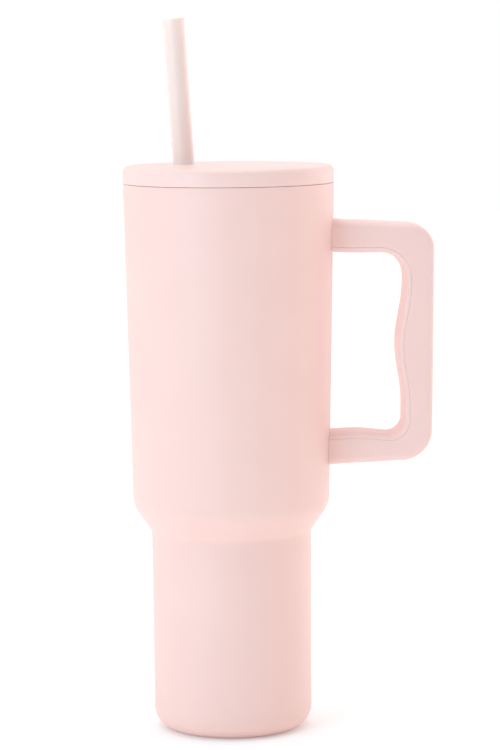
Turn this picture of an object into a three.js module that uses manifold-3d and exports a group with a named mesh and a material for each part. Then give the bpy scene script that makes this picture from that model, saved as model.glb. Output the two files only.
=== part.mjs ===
// An insulated 40 oz tumbler with a loop handle, a screw-on straw lid and a straw.
// Millimetres, +Z up. The origin is the centre of the base, on the surface that the
// tumbler stands on. The handle points along +X.
import * as THREE from "three";
import { mergeVertices } from "three/addons/utils/BufferGeometryUtils.js";
import Module from "manifold-3d";

const wasm = await Module();
wasm.setup();

// ---- Driving dimensions -------------------------------------------------------------

const GAP = 0.3; // between pieces that touch
const ROUND = 48; // segments round the large pieces
const ARC = 3; // segments in a fillet

// Cup: outer radii and heights.
const BASE_RADIUS = 37.6;
const WAIST_RADIUS = 38.05; // top of the part that fits a cup holder
const BELLY_RADIUS = 46.7; // bottom of the wide part
const RIM_RADIUS = 49.7;
const WAIST_Z = 95;
const BELLY_Z = 107.5;
const RIM_Z = 260.3;
const BASE_FILLET = 10;
const WAIST_FILLET = 4.5;
const BELLY_FILLET = 14;
const RIM_FILLET = 1.1;

// Steel walls and the vacuum between them.
const SHELL_WALL = 0.5;
const LINER_WALL = 0.45;
const WALL_TO_WALL = 3.6; // outside of the shell to the inside of the liner
const FLOOR_Z = 7; // inside face of the liner's floor
const FLOOR_FILLET = 6;
const SEAM_RADIUS = 48.15; // weld between shell and liner, on top of the rim
const NECK_RADIUS = 45.6; // straight stretch of the liner that holds the thread
const NECK_Z = 237.5;
const LIP_FILLET = 0.6;

// Base.
const BASE_HOLE_RADIUS = 25.5;
const COVER_RADIUS = 21.5;
const COVER_THICK = 1;
const PLATE_RISE = 1.6; // how far the base plate steps up over its cover
const PUMP_HOLE_RADIUS = 1.2; // where the air was drawn out from between the walls
const DISH_RADIUS = 4; // dish round the pump-out hole
const DISH_DEPTH = 1.2;
const BEAD_RADIUS = 2.3;

// Getter: a gas-absorbing pellet in its clip, inside the vacuum, off the axis.
const GETTER_X = 14;
const GETTER_RADIUS = 4;
const CLIP_WALL = 0.5;
const CLIP_HEIGHT = 1.6;

// Thread between lid and neck: one right-hand start.
const LEAD = 6;
const THREAD_TURNS = 1.25;
const THREAD_HEIGHT = 1.3;
const THREAD_ROOT = 2.6;
const THREAD_CREST = 1.4;
const THREAD_Z = 245.5; // middle of the neck's ridge where it starts
const THREAD_DROP = 2.2; // how far the lid's ridge lies below the neck's

// Lid.
const LID_TOP_Z = 268.4;
const LID_BOTTOM_Z = RIM_Z + 0.4;
const LID_FILLET = 2.6;
const LID_SKIN = 2.2;
const LID_RIM_WALL = 1.8;
const PLUG_RADIUS = 43.9;
const PLUG_WALL = 2.6;
const PLUG_BOTTOM_Z = 239.5;
const O_RING_Z = 256.7; // middle of the ring, above both threads
const O_RING_HEIGHT = 2.4;
const O_RING_INNER = 42.9;
const O_RING_OUTER = 45.2;
const FLANGE_Z = 262.6; // underside of the plug's flange
const FLANGE_TOP_Z = 265.8;
const FLANGE_RADIUS = 47.6;

// Straw: it leans outwards, away from the middle of the cup.
const STRAW_BEARING = THREE.MathUtils.degToRad(140); // of the straw hole, from the handle
const STRAW_OUT = 26.6; // from the axis, at the top of the lid
const STRAW_LEAN = Math.atan(0.0789);
const STRAW_RADIUS = 5;
const STRAW_BORE = 4;
const STRAW_BELOW = 260; // along the straw, below the top of the lid
const STRAW_ABOVE = 69.1;
const CHIMNEY_OUT = 25.4;
const CHIMNEY_RADIUS = 8.4;
const CHIMNEY_BORE = 6.8;
const CHIMNEY_TOP_Z = 263.9;
const GROMMET_HEAD_RADIUS = 8.7;
const GROMMET_NECK_RADIUS = 6.9;
const GROMMET_FOOT_RADIUS = 8.2;
const GROMMET_SEAT = 1; // depth of the step in the cap that takes its head
const VENT_OUT = 34;
const VENT_BORE = 1.2; // radius
const VENT_WALL = 1.2;

// Handle: a loop that lies in the XZ plane.
const HANDLE_WIDTH = 24;
const HANDLE_BEVEL = 2.2;
const HANDLE_WALL = 2.6;
const HANDLE_ROOT_X = 40; // inside the cup, cut away later
const HANDLE_OUTER = [
  { x: HANDLE_ROOT_X, y: 243.1, r: 0 },
  { x: 96.7, y: 239.9, r: 12 },
  { x: 95.2, y: 128.8, r: 14.5 },
  { x: HANDLE_ROOT_X, y: 126.2, r: 0 },
];
const GRIP_TOP = { x: 83.1, y: 227.2, r: 12.5 };
const GRIP_BOTTOM = { x: 81.9, y: 139.7, r: 7 };
const GRIP_ROOT_BOTTOM_Z = 144.3;
const BUMP_Z = 183;
const BUMP_LENGTH = 58;
const BUMP_HEIGHT = 3.3;
const BUMP_STEPS = 14;
const LINING_DEPTH = 2.4; // of the grip lining, at the loop's inner edge
const TONGUE_DEPTH = 1.6; // of the rib that the lining pushes into the frame
const SCREW_X = 62;
const SCREW_RADIUS = 1.7;
const SCREW_HEAD_RADIUS = 3.5;
const SCREW_HEAD = 1.8;
const BOSS_RADIUS = 4;
const RECESS_LENGTH = 4.4; // cross recess in the screw's head
const RECESS_WIDTH = 0.9;
const BRACKET_THICK = 1.8;
const BRACKET_WIDTH = 11;
const BRACKET_END_X = 68;
const SADDLE_THICK = 1.6;
const SADDLE_WIDTH = 16;

// ---- Materials ----------------------------------------------------------------------

const material = (color, roughness, metalness) =>
  new THREE.MeshStandardMaterial({ color, roughness, metalness });
const POWDER_COAT = material(0xf3d2cb, 0.5, 0);
const LID_PLASTIC = material(0xf4d6d0, 0.42, 0);
const HANDLE_PLASTIC = material(0xf2d2ca, 0.48, 0);
const SOFT_GRIP = material(0xf1d0c9, 0.7, 0);
const STRAW_PLASTIC = material(0xf4d8d4, 0.35, 0);
const SILICONE = material(0xf3e3df, 0.6, 0);
const STEEL = material(0xb9bbbd, 0.32, 1);
const GETTER = material(0x5c5c60, 0.8, 0.4);

// ---- Solids: manifold-3d joins and cuts what three.js makes -------------------------

function solidOf(geometry) {
  geometry.deleteAttribute("normal");
  geometry.deleteAttribute("uv");
  const merged = mergeVertices(geometry, 1e-4);
  const index = merged.index.array;
  const kept = [];
  for (let i = 0; i < index.length; i += 3) {
    const [a, b, c] = index.slice(i, i + 3);
    if (a !== b && b !== c && c !== a) kept.push(a, b, c);
  }
  const vertProperties = merged.attributes.position.array;
  const triVerts = new Uint32Array(kept);
  return new wasm.Manifold(
    new wasm.Mesh({ numProp: 3, vertProperties, triVerts }),
  );
}

function geometryOf(solid) {
  const mesh = solid.getMesh();
  const geometry = new THREE.BufferGeometry();
  geometry.setAttribute(
    "position",
    new THREE.BufferAttribute(mesh.vertProperties, 3),
  );
  geometry.setIndex(new THREE.BufferAttribute(mesh.triVerts, 1));
  geometry.computeVertexNormals();
  return geometry;
}

function part(name, solid, finish) {
  const mesh = new THREE.Mesh(geometryOf(solid), finish);
  mesh.name = name;
  return mesh;
}

const join = (...solids) => solids.reduce((sum, one) => sum.add(one));
const cut = (from, ...tools) => tools.reduce((rest, tool) => rest.subtract(tool), from);

// ---- Outlines -----------------------------------------------------------------------

// Corners {x, y, r} joined by straight lines, each corner rounded to its radius r.
function rounded(corners, steps = ARC) {
  const points = [];
  corners.forEach((corner, i) => {
    const at = new THREE.Vector2(corner.x, corner.y);
    const before = corners[i - 1];
    const after = corners[i + 1];
    if (!corner.r || !before || !after) {
      points.push(at);
      return;
    }
    const back = new THREE.Vector2(before.x, before.y).sub(at).normalize();
    const on = new THREE.Vector2(after.x, after.y).sub(at).normalize();
    const half = Math.acos(THREE.MathUtils.clamp(back.dot(on), -1, 1)) / 2;
    const centre = back.clone().add(on).normalize();
    centre.multiplyScalar(corner.r / Math.sin(half)).add(at);
    const first = at.clone().addScaledVector(back, corner.r / Math.tan(half));
    const last = at.clone().addScaledVector(on, corner.r / Math.tan(half));
    const start = first.clone().sub(centre).angle();
    let sweep = last.clone().sub(centre).angle() - start;
    if (sweep > Math.PI) sweep -= 2 * Math.PI;
    if (sweep < -Math.PI) sweep += 2 * Math.PI;
    for (let k = 0; k <= steps; k++) {
      const angle = start + (sweep * k) / steps;
      points.push(
        new THREE.Vector2(Math.cos(angle), Math.sin(angle))
          .multiplyScalar(corner.r)
          .add(centre),
      );
    }
  });
  return points;
}

// The same chain of corners, moved to its left by a distance (to its right if negative).
function moved(corners, distance) {
  const sides = corners.slice(1).map((corner, i) => {
    const along = new THREE.Vector2(corner.x, corner.y);
    along.sub(new THREE.Vector2(corners[i].x, corners[i].y)).normalize();
    return { along, left: new THREE.Vector2(-along.y, along.x) };
  });
  return corners.map((corner, i) => {
    const one = sides[Math.max(i - 1, 0)];
    const two = sides[Math.min(i, sides.length - 1)];
    const way = one.left.clone().add(two.left).normalize();
    const far = distance / way.dot(one.left);
    const turn = Math.sign(one.along.cross(two.along));
    const r = corner.r ? corner.r - distance * turn : 0;
    return { x: corner.x + way.x * far, y: corner.y + way.y * far, r };
  });
}

// ---- Shapes -------------------------------------------------------------------------

// A profile in (radius, height) turned about Z.
function revolved(points, segments = ROUND) {
  return solidOf(new THREE.LatheGeometry(points, segments).rotateX(Math.PI / 2));
}

// A plain ring or disc.
function ring(inner, outer, bottom, top, segments = ROUND) {
  const points = [
    new THREE.Vector2(inner, bottom),
    new THREE.Vector2(outer, bottom),
    new THREE.Vector2(outer, top),
    new THREE.Vector2(inner, top),
  ];
  if (inner) points.push(points[0]);
  return revolved(points, segments);
}

// An upright cylinder whose axis is at x, y.
function post(x, y, radius, bottom, top, segments = 24) {
  return ring(0, radius, bottom, top, segments).translate([x, y, 0]);
}

function box(lowX, highX, widthY, lowZ, highZ) {
  const geometry = new THREE.BoxGeometry(highX - lowX, widthY, highZ - lowZ);
  geometry.translate((lowX + highX) / 2, 0, (lowZ + highZ) / 2);
  return solidOf(geometry);
}

// An outline in (x, z) given its width along Y, with its edges rounded off by bevel.
function slab(points, width, bevel = 0) {
  const geometry = new THREE.ExtrudeGeometry(new THREE.Shape(points), {
    depth: width - 2 * bevel,
    bevelEnabled: bevel > 0,
    bevelThickness: bevel,
    bevelSize: bevel,
    bevelOffset: -bevel,
    bevelSegments: 3,
  });
  geometry.rotateX(Math.PI / 2);
  geometry.translate(0, width / 2 - bevel, 0);
  return solidOf(geometry);
}

// A thread ridge: a straight bar of trapezium section, bent into a right-hand helix.
// Its ends sink into the wall at the root radius.
function ridge(root, crest, middle) {
  const rise = crest - root;
  const flank = Math.sign(rise);
  const section = new THREE.Shape([
    new THREE.Vector2(root, (-flank * THREAD_ROOT) / 2),
    new THREE.Vector2(crest, (-flank * THREAD_CREST) / 2),
    new THREE.Vector2(crest, (flank * THREAD_CREST) / 2),
    new THREE.Vector2(root, (flank * THREAD_ROOT) / 2),
  ]);
  const sweep = THREAD_TURNS * 2 * Math.PI;
  const runout = Math.PI / 9;
  const lowest = 0.12; // share of the ridge's height left at its very end
  const geometry = new THREE.ExtrudeGeometry(section, {
    depth: sweep,
    steps: 60,
    bevelEnabled: false,
  });
  const place = geometry.attributes.position;
  for (let i = 0; i < place.count; i++) {
    const angle = sweep - place.getZ(i);
    const share = Math.min(angle, sweep - angle) / runout;
    const height = THREE.MathUtils.clamp(share, lowest, 1);
    const radius = root + (place.getX(i) - root) * height;
    place.setXYZ(
      i,
      radius * Math.cos(angle),
      radius * Math.sin(angle),
      middle + place.getY(i) + (LEAD * angle) / (2 * Math.PI),
    );
  }
  return solidOf(geometry);
}

// ---- Cup ----------------------------------------------------------------------------

const SHELL_OUTSIDE = [
  { x: BASE_HOLE_RADIUS, y: 0, r: 0 },
  { x: BASE_RADIUS, y: 0, r: BASE_FILLET },
  { x: WAIST_RADIUS, y: WAIST_Z, r: WAIST_FILLET },
  { x: BELLY_RADIUS, y: BELLY_Z, r: BELLY_FILLET },
  { x: RIM_RADIUS, y: RIM_Z, r: RIM_FILLET },
  { x: SEAM_RADIUS + GAP / 2, y: RIM_Z, r: 0 },
];

const LINER_INSIDE = [
  { x: 0, y: FLOOR_Z, r: 0 },
  { x: BASE_RADIUS - WALL_TO_WALL, y: FLOOR_Z, r: FLOOR_FILLET },
  { x: WAIST_RADIUS - WALL_TO_WALL, y: WAIST_Z, r: WAIST_FILLET + 2 },
  { x: BELLY_RADIUS - WALL_TO_WALL, y: BELLY_Z, r: BELLY_FILLET - 4 },
  { x: NECK_RADIUS, y: NECK_Z, r: 0 },
  { x: NECK_RADIUS, y: RIM_Z, r: LIP_FILLET },
  { x: SEAM_RADIUS - GAP / 2, y: RIM_Z, r: 0 },
];

function outerShell() {
  const inside = moved(SHELL_OUTSIDE, SHELL_WALL);
  const profile = [...rounded(SHELL_OUTSIDE), ...rounded(inside).reverse()];
  profile.push(profile[0]);
  return part("outer_shell", revolved(profile), POWDER_COAT);
}

function innerLiner() {
  const outside = moved(LINER_INSIDE, -LINER_WALL);
  const profile = [...rounded(outside), ...rounded(LINER_INSIDE).reverse()];
  const wall = revolved(profile);
  const thread = ridge(
    NECK_RADIUS + LINER_WALL / 2,
    NECK_RADIUS - THREAD_HEIGHT,
    THREAD_Z,
  );
  return part("inner_liner", join(wall, thread), STEEL);
}

// Welded into the shell; it steps up over the cover and is dished at the pump-out hole.
function basePlate() {
  const outer = BASE_HOLE_RADIUS - GAP;
  const step = COVER_RADIUS + GAP;
  const dishZ = PLATE_RISE + DISH_DEPTH;
  const underside = [
    { x: PUMP_HOLE_RADIUS, y: dishZ },
    { x: DISH_RADIUS - DISH_DEPTH, y: dishZ },
    { x: DISH_RADIUS, y: PLATE_RISE },
    { x: step, y: PLATE_RISE },
    { x: step, y: 0 },
    { x: outer, y: 0 },
  ];
  const upside = [
    { x: outer, y: SHELL_WALL },
    { x: step + SHELL_WALL, y: SHELL_WALL },
    { x: step + SHELL_WALL, y: PLATE_RISE + SHELL_WALL },
    { x: DISH_RADIUS, y: PLATE_RISE + SHELL_WALL },
    { x: DISH_RADIUS - DISH_DEPTH, y: dishZ + SHELL_WALL },
    { x: PUMP_HOLE_RADIUS, y: dishZ + SHELL_WALL },
    underside[0],
  ];
  const profile = [...underside, ...upside].map((p) => new THREE.Vector2(p.x, p.y));
  return part("base_plate", revolved(profile), POWDER_COAT);
}

const baseCover = () =>
  part("base_cover", ring(0, COVER_RADIUS, 0, COVER_THICK), STEEL);

// The drop of solder glass that closes the pump-out hole.
const vacuumSeal = () =>
  part(
    "vacuum_seal_bead",
    ring(0, BEAD_RADIUS, COVER_THICK + GAP, PLATE_RISE + DISH_DEPTH - GAP, 24),
    GETTER,
  );

const CLIP_Z = PLATE_RISE + SHELL_WALL + GAP;
const PELLET_Z = CLIP_Z + CLIP_WALL + GAP;
const PELLET_TOP_Z = CLIP_Z + CLIP_HEIGHT + CLIP_WALL;

function getterClip() {
  const hollow = GETTER_RADIUS + GAP;
  const dish = cut(
    post(GETTER_X, 0, hollow + CLIP_WALL, CLIP_Z, CLIP_Z + CLIP_HEIGHT),
    post(GETTER_X, 0, hollow, CLIP_Z + CLIP_WALL, PELLET_TOP_Z),
  );
  return part("getter_clip", dish, STEEL);
}

const getterPellet = () =>
  part(
    "getter_pellet",
    post(GETTER_X, 0, GETTER_RADIUS, PELLET_Z, PELLET_TOP_Z),
    GETTER,
  );

// Everything inside the cup's outline, grown by a distance: it shapes what meets the cup.
function cupBlank(grown) {
  const side = moved(SHELL_OUTSIDE.slice(1, 5), -grown);
  const outline = rounded([{ x: 0, y: 0 }, ...side, { x: 0, y: RIM_Z }]);
  return revolved(outline);
}

// ---- Lid ----------------------------------------------------------------------------

// Places on the lid are measured out from the axis along the straw hole's bearing.
const onBearing = (out, bearing = STRAW_BEARING) => [
  out * Math.cos(bearing),
  out * Math.sin(bearing),
];
const [CHIMNEY_X, CHIMNEY_Y] = onBearing(CHIMNEY_OUT);
const [VENT_X, VENT_Y] = onBearing(VENT_OUT, STRAW_BEARING + Math.PI);
const HOLE_DEPTH = (LID_TOP_Z - CHIMNEY_TOP_Z) / 2; // middle of the straw's grommet
const [HOLE_X, HOLE_Y] = onBearing(STRAW_OUT - HOLE_DEPTH * Math.tan(STRAW_LEAN));

// The straw's own line, from the top of the lid; positive is upwards.
function alongStraw(solid) {
  const [x, y] = onBearing(STRAW_OUT);
  const bearing = THREE.MathUtils.radToDeg(STRAW_BEARING);
  const lean = THREE.MathUtils.radToDeg(STRAW_LEAN);
  return solid.rotate([0, lean, 0]).rotate([0, 0, bearing]).translate([x, y, LID_TOP_Z]);
}

function lidCap() {
  const skinZ = LID_TOP_Z - LID_SKIN;
  const seatZ = LID_TOP_Z - GROMMET_SEAT;
  const outside = rounded([
    { x: 0, y: skinZ, r: 0 },
    { x: RIM_RADIUS - LID_RIM_WALL, y: skinZ, r: 0 },
    { x: RIM_RADIUS - LID_RIM_WALL, y: LID_BOTTOM_Z, r: 0 },
    { x: RIM_RADIUS, y: LID_BOTTOM_Z, r: 0.4 },
    { x: RIM_RADIUS, y: LID_TOP_Z, r: LID_FILLET },
    { x: 0, y: LID_TOP_Z, r: 0 },
  ]);
  const solid = cut(
    revolved(outside),
    post(HOLE_X, HOLE_Y, GROMMET_HEAD_RADIUS + GAP, seatZ, LID_TOP_Z + 1, 32),
    post(HOLE_X, HOLE_Y, GROMMET_NECK_RADIUS + GAP, skinZ - 1, LID_TOP_Z, 32),
    post(VENT_X, VENT_Y, VENT_BORE, skinZ - 1, LID_TOP_Z + 1, 16),
  );
  return part("lid_cap", solid, LID_PLASTIC);
}

// The hollow threaded lower half of the lid, with tubes for the straw and the vent.
function lidPlug() {
  const body = revolved(
    rounded([
      { x: 0, y: PLUG_BOTTOM_Z, r: 0 },
      { x: PLUG_RADIUS, y: PLUG_BOTTOM_Z, r: 3 },
      { x: PLUG_RADIUS, y: FLANGE_Z, r: 0 },
      { x: FLANGE_RADIUS, y: FLANGE_Z, r: 0 },
      { x: FLANGE_RADIUS, y: FLANGE_TOP_Z, r: 0 },
      { x: PLUG_RADIUS - PLUG_WALL, y: FLANGE_TOP_Z, r: 0 },
      { x: PLUG_RADIUS - PLUG_WALL, y: PLUG_BOTTOM_Z + PLUG_WALL, r: 1.5 },
      { x: 0, y: PLUG_BOTTOM_Z + PLUG_WALL, r: 0 },
    ]),
  );
  const thread = ridge(
    PLUG_RADIUS - 0.3,
    PLUG_RADIUS + THREAD_HEIGHT,
    THREAD_Z - THREAD_DROP,
  );
  const inFloor = PLUG_BOTTOM_Z + 1;
  const chimney = post(CHIMNEY_X, CHIMNEY_Y, CHIMNEY_RADIUS, inFloor, CHIMNEY_TOP_Z, 32);
  const ventTube = post(VENT_X, VENT_Y, VENT_BORE + VENT_WALL, inFloor, FLANGE_TOP_Z, 16);
  const below = PLUG_BOTTOM_Z - 1;
  const halfGroove = O_RING_HEIGHT / 2 + GAP;
  const groove = ring(
    O_RING_INNER - GAP,
    PLUG_RADIUS + 1,
    O_RING_Z - halfGroove,
    O_RING_Z + halfGroove,
  );
  const solid = cut(
    join(body, thread, chimney, ventTube),
    groove,
    post(CHIMNEY_X, CHIMNEY_Y, CHIMNEY_BORE, below, LID_TOP_Z, 32),
    post(VENT_X, VENT_Y, VENT_BORE, below, LID_TOP_Z, 16),
  );
  return part("lid_plug", solid, LID_PLASTIC);
}

// The silicone ring round the plug, which seals against the neck above the thread.
function plugRing() {
  const corner = 0.6;
  const low = O_RING_Z - O_RING_HEIGHT / 2;
  const high = O_RING_Z + O_RING_HEIGHT / 2;
  const profile = rounded([
    { x: O_RING_INNER, y: high, r: 0 },
    { x: O_RING_INNER, y: low, r: 0 },
    { x: O_RING_OUTER, y: low, r: corner },
    { x: O_RING_OUTER, y: high, r: corner },
    { x: O_RING_INNER, y: high, r: 0 },
  ]);
  return part("plug_o_ring", revolved(profile), SILICONE);
}

// The silicone ring that seals the plug's flange on the cup's lip. The plug's own ring
// goes up through it as the lid unscrews.
function lidGasket() {
  const inner = O_RING_OUTER + GAP;
  const solid = ring(inner, FLANGE_RADIUS, RIM_Z + GAP, FLANGE_Z - GAP);
  return part("lid_gasket", solid, SILICONE);
}

// A flanged silicone bush that clips into the cap and grips the leaning straw.
function strawGrommet() {
  const footZ = CHIMNEY_TOP_Z + GAP;
  const body = join(
    post(HOLE_X, HOLE_Y, GROMMET_HEAD_RADIUS, LID_TOP_Z - GROMMET_SEAT + GAP, LID_TOP_Z, 32),
    post(HOLE_X, HOLE_Y, GROMMET_NECK_RADIUS, footZ, LID_TOP_Z - GAP, 32),
    post(HOLE_X, HOLE_Y, GROMMET_FOOT_RADIUS, footZ, LID_TOP_Z - LID_SKIN - GAP, 32),
  );
  const bore = alongStraw(ring(0, STRAW_RADIUS + GAP, -20, 20, 32));
  return part("straw_grommet", cut(body, bore), SILICONE);
}

function straw() {
  const tube = ring(STRAW_BORE, STRAW_RADIUS, -STRAW_BELOW, STRAW_ABOVE, 24);
  return part("straw", alongStraw(tube), STRAW_PLASTIC);
}

// ---- Handle -------------------------------------------------------------------------

// The loop's inner edge, moved into the handle's material by a depth.
function loopInside(depth) {
  const slope = (GRIP_TOP.x - GRIP_BOTTOM.x) / (GRIP_TOP.y - GRIP_BOTTOM.y);
  const wave = [];
  for (let i = 0; i <= BUMP_STEPS; i++) {
    const share = i / BUMP_STEPS;
    const z = BUMP_Z + BUMP_LENGTH * (0.5 - share);
    const face = GRIP_BOTTOM.x + slope * (z - GRIP_BOTTOM.y);
    const bump = (BUMP_HEIGHT * (1 - Math.cos(2 * Math.PI * share))) / 2;
    wave.push({ x: face - bump + depth, y: z, r: 0 });
  }
  return rounded([
    { x: HANDLE_ROOT_X, y: GRIP_TOP.y + depth, r: 0 },
    { x: GRIP_TOP.x + depth, y: GRIP_TOP.y + depth, r: GRIP_TOP.r + depth },
    ...wave,
    { x: GRIP_BOTTOM.x + depth, y: GRIP_BOTTOM.y - depth, r: GRIP_BOTTOM.r + depth },
    { x: HANDLE_ROOT_X, y: GRIP_ROOT_BOTTOM_Z - depth, r: 0 },
  ]);
}

// The loop between its outer edge, moved inwards by a depth, and an inner edge.
function loop(outerDepth, innerDepth, width, bevel = 0) {
  const outer = rounded(moved(HANDLE_OUTER, -outerDepth), 6);
  return slab([...outer, ...loopInside(innerDepth).reverse()], width, bevel);
}

// The heights of the frame's outer wall and of the lining's rib above or below a screw.
function armAt(x, upper) {
  const [a, b] = upper ? HANDLE_OUTER.slice(0, 2) : HANDLE_OUTER.slice(2);
  const outer = a.y + ((b.y - a.y) * (x - a.x)) / (b.x - a.x);
  const share = (x - HANDLE_ROOT_X) / (GRIP_BOTTOM.x - HANDLE_ROOT_X);
  const slope = (GRIP_BOTTOM.y - GRIP_ROOT_BOTTOM_Z) * share;
  const inner = upper ? GRIP_TOP.y : GRIP_ROOT_BOTTOM_Z + slope;
  const out = upper ? 1 : -1;
  return {
    out,
    wallZ: outer - out * HANDLE_WALL,
    ribZ: inner + out * (LINING_DEPTH + TONGUE_DEPTH),
  };
}

// Heights along a screw, outwards from the lining's rib: head, then bracket, then boss.
function screwStack(upper) {
  const { out, wallZ, ribZ } = armAt(SCREW_X, upper);
  const headZ = ribZ + out * 2 * GAP;
  const bracketZ = headZ + out * (SCREW_HEAD + GAP);
  const bossZ = bracketZ + out * (BRACKET_THICK + GAP);
  return { out, wallZ, headZ, bracketZ, bossZ };
}

const upright = (x, radius, z1, z2, segments) =>
  post(x, 0, radius, Math.min(z1, z2), Math.max(z1, z2), segments);

function handleFrame() {
  const whole = loop(0, 0, HANDLE_WIDTH, HANDLE_BEVEL);
  const lining = slab(loopInside(LINING_DEPTH + GAP / 2), HANDLE_WIDTH + 2);
  const channel = loop(HANDLE_WALL, LINING_DEPTH - 1, HANDLE_WIDTH - 2 * HANDLE_WALL);
  let frame = cut(whole, lining, channel);
  for (const upper of [true, false]) {
    const { out, wallZ, bossZ } = screwStack(upper);
    const boss = upright(SCREW_X, BOSS_RADIUS, bossZ, wallZ + out * 0.5);
    const hole = upright(SCREW_X, SCREW_RADIUS + GAP, bossZ - out, wallZ + out * 1.3, 16);
    frame = cut(join(frame, boss), hole);
  }
  return part("handle_frame", cut(frame, cupBlank(GAP)), HANDLE_PLASTIC);
}

// The soft lining round the inside of the loop, with a rib that snaps into the frame.
function gripLining() {
  const whole = loop(0, 0, HANDLE_WIDTH, HANDLE_BEVEL);
  const skin = whole.intersect(slab(loopInside(LINING_DEPTH - GAP / 2), HANDLE_WIDTH + 2));
  const ribWidth = HANDLE_WIDTH - 2 * HANDLE_WALL - 2 * GAP;
  const ribEdge = loopInside(LINING_DEPTH + TONGUE_DEPTH);
  const rib = cut(slab(ribEdge, ribWidth), slab(loopInside(LINING_DEPTH - 1), ribWidth + 2));
  return part("grip_lining", cut(join(skin, rib), cupBlank(GAP)), SOFT_GRIP);
}

// A steel saddle welded to the shell, with a tongue that runs into the arm.
function handleBracket(name, upper) {
  const { out, wallZ, headZ, bracketZ } = screwStack(upper);
  const far = bracketZ + out * BRACKET_THICK;
  const tongue = box(
    HANDLE_ROOT_X,
    BRACKET_END_X,
    BRACKET_WIDTH,
    Math.min(bracketZ, far),
    Math.max(bracketZ, far),
  );
  const low = Math.min(headZ, wallZ - out * 2 * GAP);
  const high = Math.max(headZ, wallZ - out * 2 * GAP);
  const saddle = box(HANDLE_ROOT_X, BRACKET_END_X, SADDLE_WIDTH, low, high);
  const curved = saddle.intersect(cupBlank(GAP + SADDLE_THICK));
  const hole = upright(SCREW_X, SCREW_RADIUS + GAP, bracketZ - out, far + out, 16);
  const solid = cut(join(tongue, curved), hole, cupBlank(GAP));
  return part(name, solid, STEEL);
}

// A pan-head screw through the bracket into the frame's boss, with a cross recess.
function handleScrew(name, upper) {
  const { out, wallZ, headZ, bracketZ } = screwStack(upper);
  const head = upright(SCREW_X, SCREW_HEAD_RADIUS, headZ, headZ + out * SCREW_HEAD);
  const shank = upright(SCREW_X, SCREW_RADIUS, headZ + out, wallZ + out * 0.9, 16);
  const ends = [headZ - out, headZ + (out * SCREW_HEAD) / 2];
  const bar = (long, wide) =>
    box(SCREW_X - long / 2, SCREW_X + long / 2, wide, Math.min(...ends), Math.max(...ends));
  const slot = bar(RECESS_LENGTH, RECESS_WIDTH);
  const cross = bar(RECESS_WIDTH, RECESS_LENGTH);
  return part(name, cut(join(head, shank), slot, cross), STEEL);
}

// ---- Assembly -----------------------------------------------------------------------

const cup = new THREE.Group();
cup.add(outerShell(), innerLiner(), basePlate(), baseCover());
cup.add(vacuumSeal(), getterClip(), getterPellet());

const handle = new THREE.Group();
handle.add(handleFrame(), gripLining());
handle.add(handleBracket("upper_handle_bracket", true));
handle.add(handleBracket("lower_handle_bracket", false));
handle.add(handleScrew("upper_handle_screw", true));
handle.add(handleScrew("lower_handle_screw", false));

const lid = new THREE.Group();
lid.add(lidCap(), lidPlug(), plugRing(), lidGasket(), strawGrommet());

const tumbler = new THREE.Group();
tumbler.add(cup, handle, lid, straw());

export default tumbler;
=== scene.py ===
"""An insulated tumbler with a loop handle, a screw-on lid and a straw, on a white studio floor.

Lengths in this file are in millimetres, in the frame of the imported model, until mesh() turns
them into metres.
"""

import math

import bmesh
import bpy
from mathutils import Matrix, Vector


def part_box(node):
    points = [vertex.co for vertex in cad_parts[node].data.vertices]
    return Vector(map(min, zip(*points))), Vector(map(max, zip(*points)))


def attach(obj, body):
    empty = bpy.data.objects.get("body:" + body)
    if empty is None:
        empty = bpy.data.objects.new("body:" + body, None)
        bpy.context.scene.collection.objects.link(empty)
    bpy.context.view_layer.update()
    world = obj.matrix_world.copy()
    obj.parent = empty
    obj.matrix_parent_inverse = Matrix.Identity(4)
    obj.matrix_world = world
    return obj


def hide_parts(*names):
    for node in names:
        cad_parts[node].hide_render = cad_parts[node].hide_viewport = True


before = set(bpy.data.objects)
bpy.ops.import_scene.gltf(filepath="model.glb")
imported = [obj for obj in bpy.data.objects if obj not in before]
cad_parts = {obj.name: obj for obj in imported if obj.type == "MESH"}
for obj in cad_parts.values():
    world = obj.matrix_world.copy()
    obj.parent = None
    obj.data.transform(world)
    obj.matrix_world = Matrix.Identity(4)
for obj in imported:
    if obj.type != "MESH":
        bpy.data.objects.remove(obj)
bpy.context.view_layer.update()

MM = 0.001
ROUND = 256  # segments round the large pieces
SMALL_ROUND = 96
FILLET_STEPS = 10


def low(node):
    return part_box(node)[0] / MM


def high(node):
    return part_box(node)[1] / MM


# ---- Sizes ----------------------------------------------------------------------------

GAP = 0.3  # between pieces that fit together

# Cup. The waist and the belly are the lower and upper ends of the shoulder.
RIM_Z = high("outer_shell").z
RIM_RADIUS = high("outer_shell").x
BASE_RADIUS = 37.6
WAIST_RADIUS = 38.05
BELLY_RADIUS = 46.7
WAIST_Z = 95
BELLY_Z = 107.5
BASE_FILLET = 10
WAIST_FILLET = 4.5
BELLY_FILLET = 14
RIM_FILLET = 0.25
SHELL_WALL = 0.5
LINER_WALL = 0.45
WALL_TO_WALL = 3.6  # from the shell's outside to the liner's inside
SEAM_RADIUS = 48.15  # where the shell and the liner meet on the lip
NECK_RADIUS = 45.6
NECK_Z = 237.5
FLOOR_Z = low("inner_liner").z + LINER_WALL
FLOOR_FILLET = 6
LIP_FILLET = 0.6

# Base.
BASE_HOLE_RADIUS = high("base_plate").x + GAP
COVER_RADIUS = high("base_cover").x
COVER_THICK = high("base_cover").z
PLATE_RISE = 1.6
COVER_EDGE = 0.35

# Thread.
LEAD = 6
THREAD_TURNS = 1.25
THREAD_HEIGHT = 1.3
THREAD_ROOT = 2.6  # width of the ridge at its foot
THREAD_CREST = 1.4
THREAD_Z = 245.5
THREAD_DROP = 2.2  # the plug's ridge is this much below the neck's

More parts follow.
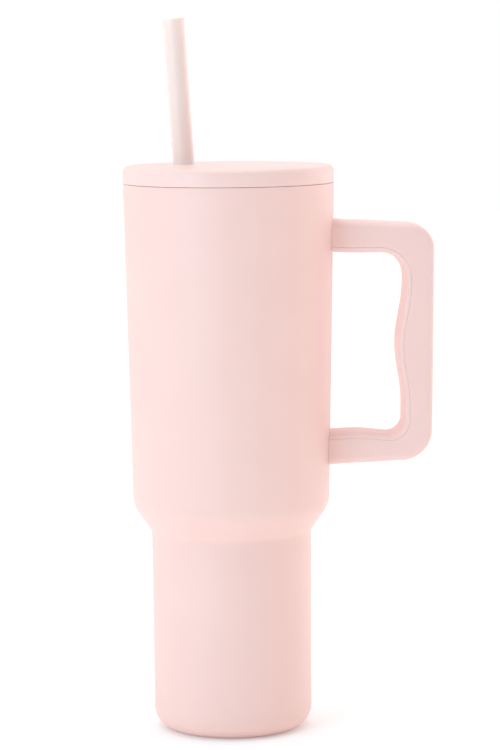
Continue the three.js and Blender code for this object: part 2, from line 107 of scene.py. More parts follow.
# Lid.
LID_TOP_Z = high("lid_cap").z
SEAM_GAP = 0.17  # what shows of the joint between the lid and the cup
LID_BOTTOM_Z = RIM_Z + SEAM_GAP
LID_RADIUS = high("lid_cap").x
LID_FILLET = 2.6
LID_EDGE = 0.12
LID_SKIN = 2.2  # thickness of the lid's flat top
LID_RIM_WALL = 1.8
PLUG_RADIUS = 43.9
PLUG_WALL = 2.6
O_RING_RADIUS = abs(low("plug_o_ring").x)
O_RING_THICK = 2.3
O_RING_GROOVE = 2.6
PLUG_BOTTOM_Z = low("lid_plug").z
FLANGE_TOP_Z = high("lid_plug").z
FLANGE_Z = high("lid_gasket").z + GAP
FLANGE_RADIUS = high("lid_plug").x

# Straw. Its line leans outwards, and is STRAW_OUT from the axis at the lid's top. Bearings go
# round from the handle, and lengths along the straw count from the lid's top.
STRAW_BEARING = math.radians(140)
STRAW_OUT = 26.6
STRAW_LEAN = math.atan(0.0789)
STRAW_RADIUS = 5
STRAW_BORE = 4
STRAW_BELOW = 260
STRAW_ABOVE = 69.1

# Holes in the lid: the chimney is the plug's tube round the straw.
CHIMNEY_OUT = 25.4
CHIMNEY_RADIUS = 8.4
CHIMNEY_BORE = 6.8
CHIMNEY_TOP_Z = low("straw_grommet").z - GAP
GROMMET_HEAD_RADIUS = 8.7
GROMMET_NECK_RADIUS = 6.9
GROMMET_FOOT_RADIUS = 8.2
GROMMET_SEAT = 1
VENT_OUT = 34
VENT_BORE = 1.2
VENT_WALL = 1.2

# Handle. The frame is the outer moulding and the lining is the inner one.
HANDLE_HALF_WIDTH = high("handle_frame").y
HANDLE_FILLET = 3.6
GRIP_FILLET = 1.95
PARTING_DEPTH = 2.4  # thickness of the lining
PARTING_GAP = 0.02
FRAME_EDGE = 0.4
LINING_EDGE = 0.05
LINING_RECESS = 0.12  # how far the lining's side faces lie below the frame's
ARM_START_X = 62  # from here each arm is carried in to the shell
OUTER_TOP = Vector((96.7, 239.9))
OUTER_BOTTOM = Vector((95.2, 128.8))
OUTER_TOP_FILLET = 12
OUTER_BOTTOM_FILLET = 14.5
ROOT_X = 40  # inside the cup: the arms' edges run straight on to their heights here
OUTER_TOP_SLOPE = (OUTER_TOP.y - 243.1) / (OUTER_TOP.x - ROOT_X)
OUTER_BOTTOM_SLOPE = (OUTER_BOTTOM.y - 126.2) / (OUTER_BOTTOM.x - ROOT_X)
INNER_TOP = Vector((83.1, 227.2))
INNER_BOTTOM = Vector((81.9, 139.7))
INNER_TOP_FILLET = 12.5
INNER_BOTTOM_FILLET = 7
INNER_BOTTOM_SLOPE = (INNER_BOTTOM.y - 144.3) / (INNER_BOTTOM.x - ROOT_X)
ROOT_FLARE = 0.8  # what an arm's outer side gains at the shell
LOOP_MIDDLE_Z = 184
LOOP_HALF_HEIGHT = 57

# Finger bump on the grip.
BUMP_Z = 183
BUMP_LENGTH = 58
BUMP_HEIGHT = 3.3


# ---- Outlines -------------------------------------------------------------------------


def rounded(corners, steps=FILLET_STEPS):
    """Corners (x, y, radius) joined by straight lines, each rounded to its radius."""
    points = []
    for i, (x, y, radius) in enumerate(corners):
        at = Vector((x, y))
        if not radius or i in (0, len(corners) - 1):
            points.append(at)
            continue
        back = (Vector(corners[i - 1][:2]) - at).normalized()
        on = (Vector(corners[i + 1][:2]) - at).normalized()
        half = back.angle(on) / 2
        centre = at + (back + on).normalized() * radius / math.sin(half)
        first = at + back * radius / math.tan(half)
        last = at + on * radius / math.tan(half)
        start = math.atan2(*(first - centre).yx)
        sweep = math.atan2(*(last - centre).yx) - start
        sweep = (sweep + math.pi) % (2 * math.pi) - math.pi
        for k in range(steps + 1):
            angle = start + sweep * k / steps
            points.append(centre + radius * Vector((math.cos(angle), math.sin(angle))))
    return points


def moved(corners, distance):
    """The same chain of corners moved to its left (to its right if negative)."""
    sides = []
    for a, b in zip(corners, corners[1:]):
        along = (Vector(b[:2]) - Vector(a[:2])).normalized()
        sides.append((along, Vector((-along.y, along.x))))
    result = []
    for i, (x, y, radius) in enumerate(corners):
        along_in, left_in = sides[max(i - 1, 0)]
        along_out, left_out = sides[min(i, len(sides) - 1)]
        way = (left_in + left_out).normalized()
        far = distance / way.dot(left_in)
        cross = along_in.cross(along_out)
        turn = (cross > 0) - (cross < 0)
        new_radius = max(radius - distance * turn, 0) if radius else 0
        result.append((x + way.x * far, y + way.y * far, new_radius))
    return result


def evenly(points, spacing):
    """The same line with points added so that none are further apart than spacing."""
    result = [points[0]]
    for a, b in zip(points, points[1:]):
        count = max(1, math.ceil((b - a).length / spacing))
        result += [a.lerp(b, k / count) for k in range(1, count + 1)]
    return result


# ---- Meshes ---------------------------------------------------------------------------


def mesh(name, bm, sharp=35):
    """An object from bm, which is in millimetres, shaded smooth up to an angle."""
    bmesh.ops.remove_doubles(bm, verts=bm.verts, dist=1e-4)
    bmesh.ops.recalc_face_normals(bm, faces=bm.faces)
    bmesh.ops.scale(bm, vec=(MM, MM, MM), verts=bm.verts)
    data = bpy.data.meshes.new(name)
    bm.to_mesh(data)
    bm.free()
    data.shade_smooth()
    data.set_sharp_from_angle(angle=math.radians(sharp))
    piece = bpy.data.objects.new(name, data)
    bpy.context.scene.collection.objects.link(piece)
    return piece


def grid(bm, rows, close_rows=False, caps=False):
    """Quads between rows of points, each row a closed ring. A row of one point is a tip."""
    made = [[bm.verts.new(p) for p in row] for row in rows]
    pairs = list(zip(made, made[1:]))
    if close_rows:
        pairs.append((made[-1], made[0]))
    for a, b in pairs:
        for i in range(max(len(a), len(b))):
            j = i + 1
            corners = [a[i % len(a)], a[j % len(a)], b[j % len(b)], b[i % len(b)]]
            unique = list(dict.fromkeys(corners))
            bm.faces.new(unique)
    if caps:
        for row in (made[0], made[-1]):
            if len(row) > 2:
                bm.faces.new(row)
    return bm


def lathe(profile, segments=ROUND):
    """A profile of (radius, z) turned about Z. It ends on the axis or joins up with itself."""
    closed = (profile[0] - profile[-1]).length < 1e-6
    points = profile[:-1] if closed else profile
    rows = []
    for radius, z in points:
        count = segments if radius > 1e-6 else 1
        turns = [2 * math.pi * k / segments for k in range(count)]
        rows.append([(radius * math.cos(t), radius * math.sin(t), z) for t in turns])
    return grid(bmesh.new(), rows, close_rows=closed)


def cylinder(x, y, radius, bottom, top, segments=SMALL_ROUND):
    profile = [Vector(p) for p in ((0, bottom), (radius, bottom), (radius, top), (0, top))]
    bm = lathe(profile, segments)
    bmesh.ops.translate(bm, vec=(x, y, 0), verts=bm.verts)
    return bm


def combined(name, body, *steps, sharp=35):
    """body with each (operation, other solid) joined to it or cut out of it."""
    piece = mesh(name, body, sharp)
    for operation, other in steps:
        tool = mesh(f"{name}_tool", other)
        modifier = piece.modifiers.new("combine", "BOOLEAN")
        modifier.operation = operation
        modifier.object = tool
        modifier.solver = "EXACT"
        settled = piece.evaluated_get(bpy.context.evaluated_depsgraph_get())
        piece.data = bpy.data.meshes.new_from_object(settled)
        piece.modifiers.clear()
        bpy.data.objects.remove(tool)
    piece.data.shade_smooth()
    piece.data.set_sharp_from_angle(angle=math.radians(sharp))
    return piece


def ridge(root, crest, middle):
    """A thread ridge on a right-hand helix, with rounded flanks and ends that run out."""
    sweep = THREAD_TURNS * 2 * math.pi
    runout = math.pi / 9
    stations = 200
    lowest = 0.02  # share of the full height at the very ends
    foot, crown = THREAD_ROOT / 2, THREAD_CREST / 2
    section = [(0, -foot), (0.45, -foot * 0.86), (0.85, -crown), (1, -crown * 0.6)]
    section += [(share, -z) for share, z in reversed(section)]
    rows = []
    for k in range(stations + 1):
        angle = sweep * k / stations
        from_end = min(angle, sweep - angle, runout)
        height = max(lowest, math.sin(from_end / runout * math.pi / 2))
        row = []
        for share, z in section:
            radius = root + (crest - root) * share * height
            rise = middle + z + LEAD * angle / (2 * math.pi)
            row.append((radius * math.cos(angle), radius * math.sin(angle), rise))
        rows.append(row)
    return grid(bmesh.new(), rows, caps=True)


# ---- Materials ------------------------------------------------------------------------


def linear(red, green, blue):
    """A colour given as 0 to 255 on screen, in the scene's linear values."""
    values = [c / 255 for c in (red, green, blue)]
    return [c / 12.92 if c < 0.04045 else ((c + 0.055) / 1.055) ** 2.4 for c in values] + [1]


class Surface:
    """A node material built round one Principled shader, textured in object coordinates."""

    def __init__(self, name, **sockets):
        self.material = bpy.data.materials.new(name)
        self.material.use_nodes = True
        self.tree = self.material.node_tree
        self.shader = self.tree.nodes["Principled BSDF"]
        for socket, value in sockets.items():
            self.shader.inputs[socket.replace("_", " ")].default_value = value
        self.coordinates = self.node("ShaderNodeTexCoord").outputs["Object"]

    def node(self, kind, **settings):
        made = self.tree.nodes.new(kind)
        for key, value in settings.items():
            setattr(made, key, value)
        return made

    def link(self, source, target):
        self.tree.links.new(source, target)

    def noise(self, size, detail=2.0, stretch=(1, 1, 1)):
        """Noise whose blobs are about size millimetres across, longer along a stretch."""
        mapping = self.node("ShaderNodeMapping")
        mapping.inputs["Scale"].default_value = [1 / (size * MM * s) for s in stretch]
        self.link(self.coordinates, mapping.inputs["Vector"])
        texture = self.node("ShaderNodeTexNoise")
        texture.inputs["Scale"].default_value = 1
        texture.inputs["Detail"].default_value = detail
        self.link(mapping.outputs["Vector"], texture.inputs["Vector"])
        return texture.outputs["Fac"]

    def rings(self, width):
        """Noise that depends only on the distance from the Z axis, as turning leaves."""
        flat = self.node("ShaderNodeVectorMath", operation="MULTIPLY")
        flat.inputs[1].default_value = (1, 1, 0)
        self.link(self.coordinates, flat.inputs[0])
        radius = self.node("ShaderNodeVectorMath", operation="LENGTH")
        self.link(flat.outputs["Vector"], radius.inputs[0])
        texture = self.node("ShaderNodeTexNoise", noise_dimensions="1D")
        texture.inputs["Scale"].default_value = 1 / (width * MM)
        texture.inputs["Detail"].default_value = 3
        self.link(radius.outputs["Value"], texture.inputs["W"])
        return texture.outputs["Fac"]

    def ranged(self, factor, low_value, high_value):
        remap = self.node("ShaderNodeMapRange")
        remap.inputs["From Min"].default_value = 0.3
        remap.inputs["From Max"].default_value = 0.7
        remap.inputs["To Min"].default_value = low_value
        remap.inputs["To Max"].default_value = high_value
        self.link(factor, remap.inputs["Value"])
        return remap.outputs["Result"]

    def colours(self, factor, one, two):
        mix = self.node("ShaderNodeMix", data_type="RGBA")
        for socket, value in zip([s for s in mix.inputs if s.type == "RGBA"], (one, two)):
            socket.default_value = value
        self.link(self.ranged(factor, 0, 1), mix.inputs["Factor"])
        result = next(s for s in mix.outputs if s.type == "RGBA")
        self.link(result, self.shader.inputs["Base Color"])

    def roughness(self, factor, low_value, high_value):
        self.link(self.ranged(factor, low_value, high_value), self.shader.inputs["Roughness"])

    def bumps(self, *layers):
        """Layers of (noise, height in millimetres), one on top of the other."""
        normal = None
        for factor, height in layers:
            bump = self.node("ShaderNodeBump")
            bump.inputs["Strength"].default_value = 1
            bump.inputs["Distance"].default_value = height * MM
            self.link(factor, bump.inputs["Height"])
            if normal:
                self.link(normal, bump.inputs["Normal"])
            normal = bump.outputs["Normal"]
        self.link(normal, self.shader.inputs["Normal"])


def powder_coat():
    """Baked powder: fine grain over a faint orange peel."""
    s = Surface("powder_coat", Specular_IOR_Level=0.5)
    s.colours(s.noise(35), linear(245, 203, 195), linear(247, 206, 198))
    s.roughness(s.noise(18, 3), 0.4, 0.5)
    s.bumps((s.noise(1.6), 0.012), (s.noise(0.22, 1), 0.006))
    return s.material


def moulded(name, one, two, rough, grain=0.35, depth=0.008, glow=0.0):
    """Moulded plastic with a fine spark-eroded grain."""
    s = Surface(name, Specular_IOR_Level=0.45, Subsurface_Weight=glow)
    s.shader.inputs["Subsurface Radius"].default_value = (1.0, 0.5, 0.4)
    s.shader.inputs["Subsurface Scale"].default_value = 1.2 * MM
    s.colours(s.noise(28), linear(*one), linear(*two))
    s.roughness(s.noise(12, 3), rough - 0.04, rough + 0.05)
    s.bumps((s.noise(grain, 1), depth), (s.noise(3.5), 0.006))
    return s.material


def drawn_steel():
    """Stainless steel brushed round the cup, with faint streaks."""
    s = Surface("brushed_steel", Metallic=1.0)
    streaks = s.noise(0.12, 4, stretch=(220, 220, 1))
    s.colours(s.noise(22, 3), linear(226, 227, 228), linear(236, 236, 236))
    s.roughness(streaks, 0.28, 0.44)
    s.bumps((streaks, 0.004))
    return s.material


def turned_steel():
    """Stainless steel with the fine rings of a lathe."""
    s = Surface("turned_steel", Metallic=1.0)
    rings = s.rings(0.25)
    s.colours(s.noise(9, 3), linear(186, 187, 189), linear(205, 205, 206))
    s.roughness(rings, 0.2, 0.38)
    s.bumps((rings, 0.006))
    return s.material


def zinc_plate():
    """Plated fixings: speckled and a little dull."""
    s = Surface("zinc_plate", Metallic=1.0)
    s.colours(s.noise(0.9, 4), linear(176, 178, 181), linear(200, 201, 203))
    s.roughness(s.noise(0.5, 4), 0.3, 0.5)
    s.bumps((s.noise(0.3, 2), 0.004))
    return s.material


def dark_sinter():
    """Pressed grey metal powder."""
    s = Surface("dark_sinter", Metallic=0.6)
    s.colours(s.noise(0.4, 4), linear(84, 84, 88), linear(112, 112, 116))
    s.roughness(s.noise(0.3, 4), 0.6, 0.85)
    s.bumps((s.noise(0.18, 3), 0.02))
    return s.material


def straw_plastic():
    """Extruded plastic: satin, a little light comes through, with lines along its length."""
    s = Surface("straw_plastic", Specular_IOR_Level=0.5, Subsurface_Weight=0.35)
    s.shader.inputs["Subsurface Radius"].default_value = (1.0, 0.8, 0.7)
    s.shader.inputs["Subsurface Scale"].default_value = 2.5 * MM
    lines = s.noise(0.5, 2, stretch=(1, 1, 80))
    s.colours(s.noise(14), linear(253, 219, 211), linear(254, 222, 214))
    s.roughness(lines, 0.3, 0.38)
    s.bumps((lines, 0.006))
    return s.material


POWDER_COAT = powder_coat()
LID_PLASTIC = moulded("lid_plastic", (245, 206, 199), (247, 209, 202), 0.36, glow=0.08)
HANDLE_PLASTIC = moulded("handle_plastic", (245, 205, 198), (247, 208, 201), 0.44)
SOFT_GRIP = moulded("soft_grip", (245, 207, 200), (247, 210, 203), 0.5, grain=0.5, depth=0.012)
SILICONE = moulded("silicone", (243, 226, 221), (247, 231, 227), 0.5, depth=0.004, glow=0.35)
STRAW = straw_plastic()
DRAWN_STEEL = drawn_steel()
TURNED_STEEL = turned_steel()
ZINC_PLATE = zinc_plate()
DARK_SINTER = dark_sinter()


def finished(piece, material, body, slot, *nodes):
    """Gives a new piece its material and its body, and hides the CAD nodes it replaces; slot is
    not used.
    """
    piece.data.materials.clear()
    piece.data.materials.append(material)
    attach(piece, body)
    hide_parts(*nodes)
    return piece


# ---- Cup ------------------------------------------------------------------------------

SHELL_OUTSIDE = [
    (BASE_HOLE_RADIUS, 0, 0),
    (BASE_RADIUS, 0, BASE_FILLET),
    (WAIST_RADIUS, WAIST_Z, WAIST_FILLET),
    (BELLY_RADIUS, BELLY_Z, BELLY_FILLET),
    (RIM_RADIUS, RIM_Z, RIM_FILLET),
    (SEAM_RADIUS + 0.02, RIM_Z, 0),
]

LINER_INSIDE = [
    (0, FLOOR_Z, 0),
    (BASE_RADIUS - WALL_TO_WALL, FLOOR_Z, FLOOR_FILLET),
    (WAIST_RADIUS - WALL_TO_WALL, WAIST_Z, WAIST_FILLET + 2),
    (BELLY_RADIUS - WALL_TO_WALL, BELLY_Z, BELLY_FILLET - 4),
    (NECK_RADIUS, NECK_Z, 0),
    (NECK_RADIUS, RIM_Z, LIP_FILLET),
    (SEAM_RADIUS - 0.02, RIM_Z, 0),
]


def wall(side, thickness, spacing=6):
    """The closed outline of a sheet wall, from one side of it."""
    near = evenly(rounded(side), spacing)
    far = evenly(rounded(moved(side, thickness)), spacing)
    ends_on_axis = side[0][0] == 0
    return near + far[::-1] + ([] if ends_on_axis else near[:1])


def outer_shell():
    piece = mesh("outer_shell_coated", lathe(wall(SHELL_OUTSIDE, SHELL_WALL)))
    return finished(piece, POWDER_COAT, "cup", "powder_coat", "outer_shell")


def inner_liner():
    thread = ridge(NECK_RADIUS + LINER_WALL / 2, NECK_RADIUS - THREAD_HEIGHT, THREAD_Z)
    body = lathe(wall(LINER_INSIDE, -LINER_WALL))
    piece = combined("inner_liner_steel", body, ("UNION", thread))
    return finished(piece, DRAWN_STEEL, "cup", "stainless_steel", "inner_liner")


def base_plate():
    """The plate in the shell's base; it steps up over the cover."""
    step = COVER_RADIUS + GAP
    outer = BASE_HOLE_RADIUS - 0.05
    bend = 0.35
    underside = [
        (0, PLATE_RISE, 0),
        (step, PLATE_RISE, bend),
        (step, 0, bend),
        (outer, 0, 0),
    ]
    piece = mesh("base_plate_coated", lathe(wall(underside, SHELL_WALL)))
    return finished(piece, POWDER_COAT, "cup", "powder_coat", "base_plate")


def base_cover():
    outline = rounded(
        [
            (0, 0, 0),
            (COVER_RADIUS, 0, COVER_EDGE),
            (COVER_RADIUS, COVER_THICK, COVER_EDGE),
            (0, COVER_THICK, 0),
        ]
    )
    piece = mesh("base_cover_turned", lathe(evenly(outline, 4)))
    return finished(piece, TURNED_STEEL, "cup", "stainless_steel", "base_cover")


def shell_radius(z):
    """The radius of the upper body at a height."""
    share = (z - BELLY_Z) / (RIM_Z - BELLY_Z)
    return BELLY_RADIUS + (RIM_RADIUS - BELLY_RADIUS) * share


# ---- Handle ---------------------------------------------------------------------------


def handle_paths():
    """The loop's outer and inner edges, point for point, from the upper arm to the lower.

    Each point is (position, normal out of the handle's material) in (x, z).
    """
    arm, corner, back = 24, 20, 90

    def arm_start(corner_at, slope):
        return Vector((ARM_START_X, corner_at.y - slope * (corner_at.x - ARM_START_X)))

    outer = chain(
        arm_start(OUTER_TOP, OUTER_TOP_SLOPE),
        OUTER_TOP,
        OUTER_BOTTOM,
        arm_start(OUTER_BOTTOM, OUTER_BOTTOM_SLOPE),
        OUTER_TOP_FILLET,
        OUTER_BOTTOM_FILLET,
        (arm, corner, back),
    )
    inner = chain(
        arm_start(INNER_TOP, 0),
        INNER_TOP,
        INNER_BOTTOM,
        arm_start(INNER_BOTTOM, INNER_BOTTOM_SLOPE),
        INNER_TOP_FILLET,
        INNER_BOTTOM_FILLET,
        (arm, corner, back),
    )
    inner = [with_bump(p) for p in inner]
    return with_normals(outer, 1), with_normals(inner, -1)


def chain(start, top, bottom, end, top_fillet, bottom_fillet, counts):
    """start, a rounded corner, a straight back, a rounded corner and end, in set counts."""
    arm, corner, back = counts
    corners = [(*start, 0), (*top, top_fillet), (*bottom, bottom_fillet), (*end, 0)]
    points = rounded(corners, corner)
    first_arc = points[1 : corner + 2]
    second_arc = points[corner + 2 : 2 * corner + 3]
    line = [start.lerp(first_arc[0], k / arm) for k in range(arm)]
    line += first_arc
    line += [first_arc[-1].lerp(second_arc[0], k / back) for k in range(1, back)]
    line += second_arc
    line += [second_arc[-1].lerp(end, k / arm) for k in range(1, arm + 1)]
    return line


def with_bump(point):
    """A point of the inner edge, moved towards the cup where the finger bump is."""
    share = (point.y - BUMP_Z) / BUMP_LENGTH
    if abs(share) >= 0.5:
        return point
    bump = BUMP_HEIGHT * (1 + math.cos(2 * math.pi * share)) / 2
    return Vector((point.x - bump, point.y))


def with_normals(points, side):
    """Each point with the normal on one side of the line: 1 is to its left."""
    result = []
    last = len(points) - 1
    for i, point in enumerate(points):
        along = (points[min(i + 1, last)] - points[max(i - 1, 0)]).normalized()
        result.append((point, side * Vector((-along.y, along.x))))
    return result


def root_rows(row, steps, gap):
    """Rows that carry an end row of an arm inwards, until it meets the shell.

    The arm grows a little on its outer side, away from the middle of the loop.
    """
    rows = []
    for k in range(1, steps + 1):
        share = k / steps
        carried = []
        for x, y, z in row:
            wall_x = math.sqrt((shell_radius(z) + gap) ** 2 - y * y)
            flare = ROOT_FLARE * share**2 * (z - LOOP_MIDDLE_Z) / LOOP_HALF_HEIGHT
            carried.append((x + (wall_x - x) * share, y, z + flare))
        rows.append(carried)
    return rows


def swept(name, sections, gap=0.05):
    """A solid through the sections, with both of its ends carried on to the shell."""
    steps = 10
    start = root_rows(sections[0], steps, gap)[::-1]
    end = root_rows(sections[-1], steps, gap)
    return mesh(name, grid(bmesh.new(), start + sections + end, caps=True))


def quarter(radius, steps):
    """(inset, drop) round a quarter circle: first on the edge, last on the side face."""
    angles = [math.pi / 2 * k / steps for k in range(steps + 1)]
    return [(radius * (1 - math.cos(a)), radius * (1 - math.sin(a))) for a in angles]


def both_sides(half):
    """Points (x, y, z) for one half of a section, then the same points mirrored in y."""
    return half + [(x, -y, z) for x, y, z in reversed(half)]


def handle_frame():
    outer, inner = handle_paths()
    sections = []
    for (out_at, out_normal), (in_at, in_normal) in zip(outer, inner):
        half = []
        for inset, drop in quarter(HANDLE_FILLET, 10):
            p = out_at - out_normal * inset
            half.append((p.x, HANDLE_HALF_WIDTH - drop, p.y))
        depth = PARTING_DEPTH + PARTING_GAP / 2
        for inset, drop in quarter(FRAME_EDGE, 6)[::-1]:
            p = in_at - in_normal * (depth + inset)
            half.append((p.x, HANDLE_HALF_WIDTH - drop, p.y))
        sections.append(both_sides(half))
    piece = swept("handle_frame_moulding", sections)
    return finished(piece, HANDLE_PLASTIC, "cup", "handle_plastic", "handle_frame")


def grip_lining():
    _, inner = handle_paths()
    half_width = HANDLE_HALF_WIDTH - LINING_RECESS
    sections = []
    for at, normal in inner:
        half = []
        for inset, drop in quarter(GRIP_FILLET, 8):
            p = at - normal * inset
            half.append((p.x, half_width - drop, p.y))
        depth = PARTING_DEPTH - PARTING_GAP / 2
        for inset, drop in quarter(LINING_EDGE, 4)[::-1]:
            p = at - normal * (depth - inset)
            half.append((p.x, half_width - drop, p.y))
        sections.append(both_sides(half))
    piece = swept("grip_lining_moulding", sections)
    return finished(piece, SOFT_GRIP, "cup", "soft_grip", "grip_lining")


# ---- Lid and straw --------------------------------------------------------------------


def on_bearing(out, bearing=STRAW_BEARING):
    return out * math.cos(bearing), out * math.sin(bearing)


CHIMNEY = on_bearing(CHIMNEY_OUT)
VENT = on_bearing(VENT_OUT, STRAW_BEARING + math.pi)
HOLE = on_bearing(STRAW_OUT - (LID_TOP_Z - CHIMNEY_TOP_Z) / 2 * math.tan(STRAW_LEAN))


def along_straw(bm):
    """Moves a solid from the Z axis to the straw's line; its zero goes to the lid's top."""
    place = Matrix.Translation((*on_bearing(STRAW_OUT), LID_TOP_Z))
    place @= Matrix.Rotation(STRAW_BEARING, 4, "Z") @ Matrix.Rotation(STRAW_LEAN, 4, "Y")
    bmesh.ops.transform(bm, matrix=place, verts=bm.verts)
    return bm


def lid_cap():
    skin_z = LID_TOP_Z - LID_SKIN
    wall_radius = LID_RADIUS - LID_RIM_WALL
    outline = rounded(
        [
            (0, skin_z, 0),
            (wall_radius, skin_z, 0.6),
            (wall_radius, LID_BOTTOM_Z, 0.3),
            (LID_RADIUS, LID_BOTTOM_Z, LID_EDGE),
            (LID_RADIUS, LID_TOP_Z, LID_FILLET),
            (0, LID_TOP_Z, 0),
        ]
    )
    seat_z = LID_TOP_Z - GROMMET_SEAT
    above, below = LID_TOP_Z + 1, skin_z - 1
    piece = combined(
        "lid_cap_moulding",
        lathe(outline),
        ("DIFFERENCE", cylinder(*HOLE, GROMMET_HEAD_RADIUS + 0.1, seat_z, above)),
        ("DIFFERENCE", cylinder(*HOLE, GROMMET_NECK_RADIUS + 0.1, below, LID_TOP_Z)),
        ("DIFFERENCE", cylinder(*VENT, VENT_BORE, below, above, 48)),
    )
    return finished(piece, LID_PLASTIC, "lid", "lid_plastic", "lid_cap")


def lid_plug():
    inner_radius = PLUG_RADIUS - PLUG_WALL
    groove = [low("plug_o_ring").z - GAP, high("plug_o_ring").z + GAP]
    groove_radius = O_RING_RADIUS - O_RING_GROOVE
    body = rounded(
        [
            (0, PLUG_BOTTOM_Z, 0),
            (PLUG_RADIUS, PLUG_BOTTOM_Z, 2.2),
            (PLUG_RADIUS, groove[0], 0),
            (groove_radius, groove[0], 0),
            (groove_radius, groove[1], 0),
            (PLUG_RADIUS, groove[1], 0),
            (PLUG_RADIUS, FLANGE_Z, 0.4),
            (FLANGE_RADIUS, FLANGE_Z, 0.3),
            (FLANGE_RADIUS, FLANGE_TOP_Z, 0.3),
            (inner_radius, FLANGE_TOP_Z, 0),
            (inner_radius, PLUG_BOTTOM_Z + PLUG_WALL, 1.5),
            (0, PLUG_BOTTOM_Z + PLUG_WALL, 0),
        ]
    )
    sunk = PLUG_RADIUS - 0.3
    thread = ridge(sunk, PLUG_RADIUS + THREAD_HEIGHT, THREAD_Z - THREAD_DROP)
    in_floor = PLUG_BOTTOM_Z + 1
    below = PLUG_BOTTOM_Z - 1
    piece = combined(
        "lid_plug_moulding",
        lathe(body),
        ("UNION", thread),
        ("UNION", cylinder(*CHIMNEY, CHIMNEY_RADIUS, in_floor, CHIMNEY_TOP_Z)),
        ("UNION", cylinder(*VENT, VENT_BORE + VENT_WALL, in_floor, FLANGE_TOP_Z, 48)),
        ("DIFFERENCE", cylinder(*CHIMNEY, CHIMNEY_BORE, below, LID_TOP_Z)),
        ("DIFFERENCE", cylinder(*VENT, VENT_BORE, below, LID_TOP_Z, 48)),
    )
    return finished(piece, LID_PLASTIC, "lid", "lid_plastic", "lid_plug")


def seal_ring(name, node, inner_radius, edge, body):
    """A silicone ring that fills its node's box, with rounded edges."""
    outer_radius, bottom, top = high(node).x, low(node).z, high(node).z
    middle = (bottom + top) / 2
    outline = rounded(
        [
            (inner_radius, middle, 0),
            (inner_radius, bottom, edge),
            (outer_radius, bottom, edge),
            (outer_radius, top, edge),
            (inner_radius, top, edge),
            (inner_radius, middle, 0),
        ]
    )
    piece = mesh(name, lathe(outline))
    return finished(piece, SILICONE, body, "silicone", node)


def straw_grommet():
    seat_z = LID_TOP_Z - GROMMET_SEAT
    groove_z = LID_TOP_Z - LID_SKIN
    foot_z = CHIMNEY_TOP_Z + GAP
    outline = rounded(
        [
            (0, foot_z, 0),
            (GROMMET_FOOT_RADIUS, foot_z, 0.4),
            (GROMMET_FOOT_RADIUS, groove_z - 0.1, 0.4),
            (GROMMET_NECK_RADIUS, groove_z - 0.1, 0),
            (GROMMET_NECK_RADIUS, seat_z + 0.1, 0),
            (GROMMET_HEAD_RADIUS, seat_z + 0.1, 0.2),
            (GROMMET_HEAD_RADIUS, LID_TOP_Z, 0.45),
            (0, LID_TOP_Z, 0),
        ],
        6,
    )
    bm = lathe(outline, SMALL_ROUND)
    bmesh.ops.translate(bm, vec=(*HOLE, 0), verts=bm.verts)
    bore = along_straw(cylinder(0, 0, STRAW_RADIUS + 0.08, -20, 20))
    piece = combined("straw_grommet_moulding", bm, ("DIFFERENCE", bore))
    return finished(piece, SILICONE, "lid", "silicone", "straw_grommet")


def straw():
    """A tube with its cut ends rounded over."""
    lip = (STRAW_RADIUS - STRAW_BORE) / 2 * 0.9
    middle = (STRAW_RADIUS + STRAW_BORE) / 2
    outline = rounded(
        [
            (middle, -STRAW_BELOW, 0),
            (STRAW_RADIUS, -STRAW_BELOW, lip),
            (STRAW_RADIUS, STRAW_ABOVE, lip),
            (STRAW_BORE, STRAW_ABOVE, lip),
            (STRAW_BORE, -STRAW_BELOW, lip),
            (middle, -STRAW_BELOW, 0),
        ],
        6,
    )
    piece = mesh("straw_tube", along_straw(lathe(evenly(outline, 12), SMALL_ROUND)))
    return finished(piece, STRAW, "straw", "straw_plastic", "straw")


# ---- Studio ---------------------------------------------------------------------------


def floor():
    """A large white sheet with painted light: it glows a little, and less round the tumbler,
    which paints a darker shade round its shadow.
    """
    bm = bmesh.new()
    half = 4000
    corners = [(-half, -half, 0), (half, -half, 0), (half, half, 0), (-half, half, 0)]
    bm.faces.new([bm.verts.new(p) for p in corners])
    sheet = mesh("studio_floor", bm)
    s = Surface("studio_white", Roughness=0.9, Specular_IOR_Level=0.2)
    s.shader.inputs["Emission Color"].default_value = (1, 1, 1, 1)
    s.colours(s.noise(400), linear(243, 243, 243), linear(247, 247, 247))
    # Painted light: the floor's glow is weaker near the tumbler's axis, a painted shade that
    # darkens the floor round its foot.
    distance = s.node("ShaderNodeVectorMath", operation="LENGTH")
    glow = s.node("ShaderNodeMapRange", interpolation_type="SMOOTHSTEP")
    glow.inputs["From Min"].default_value = 60 * MM
    glow.inputs["From Max"].default_value = 400 * MM
    glow.inputs["To Min"].default_value = 0.13
    glow.inputs["To Max"].default_value = 0.26
    s.link(s.coordinates, distance.inputs[0])
    s.link(distance.outputs["Value"], glow.inputs["Value"])
    s.link(glow.outputs["Result"], s.shader.inputs["Emission Strength"])
    sheet.data.materials.append(s.material)


def panel(name, power, colour, size, place, target):
    """A soft rectangular light that faces a point."""
    data = bpy.data.lights.new(name, "AREA")
    data.energy = power
    data.color = colour
    data.shape = "RECTANGLE"
    data.size, data.size_y = size[0] * MM, size[1] * MM
    light = bpy.data.objects.new(name, data)
    light.location = Vector(place) * MM
    light.visible_camera = False
    way = (Vector(target) - Vector(place)).normalized()
    light.rotation_mode = "QUATERNION"
    light.rotation_quaternion = way.to_track_quat("-Z", "Y")
    bpy.context.scene.collection.objects.link(light)


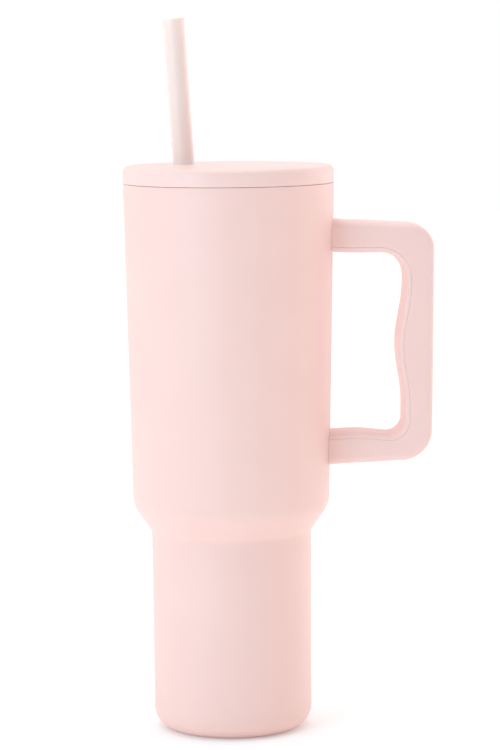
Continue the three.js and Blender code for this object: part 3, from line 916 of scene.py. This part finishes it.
def white_room(dark_side, darkest):
    """White all round, but its light falls off to a level in one direction."""
    world = bpy.data.worlds.new("studio_air")
    world.use_nodes = True
    tree = world.node_tree
    direction = tree.nodes.new("ShaderNodeTexCoord").outputs["Generated"]
    facing = tree.nodes.new("ShaderNodeVectorMath")
    facing.operation = "DOT_PRODUCT"
    facing.inputs[1].default_value = Vector(dark_side).normalized()
    fall = tree.nodes.new("ShaderNodeMapRange")
    fall.interpolation_type = "SMOOTHSTEP"
    fall.inputs["From Min"].default_value = 0.1
    fall.inputs["From Max"].default_value = 0.9
    fall.inputs["To Min"].default_value = 1
    fall.inputs["To Max"].default_value = darkest
    seen = tree.nodes.new("ShaderNodeLightPath").outputs["Is Camera Ray"]
    brighter = tree.nodes.new("ShaderNodeMath")
    brighter.operation = "MAXIMUM"
    tree.links.new(direction, facing.inputs[0])
    tree.links.new(facing.outputs["Value"], fall.inputs["Value"])
    tree.links.new(fall.outputs["Result"], brighter.inputs[0])
    tree.links.new(seen, brighter.inputs[1])
    background = tree.nodes["Background"]
    tree.links.new(brighter.outputs["Value"], background.inputs["Strength"])
    background.inputs["Color"].default_value = (1, 1, 1, 1)
    bpy.context.scene.world = world


def studio():
    """A cool key light at the left, one overhead, and two at the right for the far edge."""
    middle = (0, 0, 150)
    white_room(dark_side=(0.5, -0.85, 0), darkest=0.43)
    cool = (0.32, 0.82, 1.05)
    panel("key_left", 6, cool, (500, 1300), (-940, -1040, 400), middle)
    panel("overhead", 5, (0.75, 0.95, 1), (900, 900), (0, 0, 1500), (0, 0, 262))
    panel("rim_back", 1.5, (1, 0.99, 0.98), (300, 1100), (980, 820, 350), middle)
    panel("rim_right", 2, (1, 0.99, 0.98), (500, 1100), (1200, 150, 350), middle)


def camera():
    """A long lens, a little above the lid and a little left of the handle's plane."""
    turn = Matrix.Rotation(math.radians(-3), 3, "Z")  # the handle points 3 degrees away
    place = turn @ Vector((9.4, -1400, 330.2)) * MM
    pitch, roll = 0.1147, 0.0085
    right = turn @ Vector((1, 0, 0))
    forward = turn @ Vector((0, math.cos(pitch), -math.sin(pitch)))
    up = turn @ Vector((0, math.sin(pitch), math.cos(pitch)))
    side = math.cos(roll) * right - math.sin(roll) * up
    top = math.sin(roll) * right + math.cos(roll) * up
    data = bpy.data.cameras.new("camera")
    data.lens = 142.46
    data.sensor_width = 36
    data.clip_end = 50
    seen = bpy.data.objects.new("camera", data)
    turned = Matrix((side, top, -forward)).transposed().to_4x4()
    seen.matrix_world = Matrix.Translation(place) @ turned
    bpy.context.scene.collection.objects.link(seen)
    bpy.context.scene.camera = seen


# ---- Scene ----------------------------------------------------------------------------

camera()
studio()
floor()

outer_shell()
inner_liner()
base_plate()
base_cover()
handle_frame()
grip_lining()
lid_cap()
lid_plug()
seal_ring("lid_gasket_ring", "lid_gasket", high("plug_o_ring").x + GAP, 0.4, "lid_seal")
seal_ring("plug_o_ring_ring", "plug_o_ring", O_RING_RADIUS - O_RING_THICK, 0.7, "plug_seal")
straw_grommet()
straw()

CARRIED_OVER = {
    "vacuum_seal_bead": DARK_SINTER,
    "getter_pellet": DARK_SINTER,
    "getter_clip": ZINC_PLATE,
    "upper_handle_bracket": ZINC_PLATE,
    "lower_handle_bracket": ZINC_PLATE,
    "upper_handle_screw": ZINC_PLATE,
    "lower_handle_screw": ZINC_PLATE,
}
for node, material in CARRIED_OVER.items():
    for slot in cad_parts[node].material_slots:
        slot.material = material

bpy.context.scene.view_settings.view_transform = "Standard"
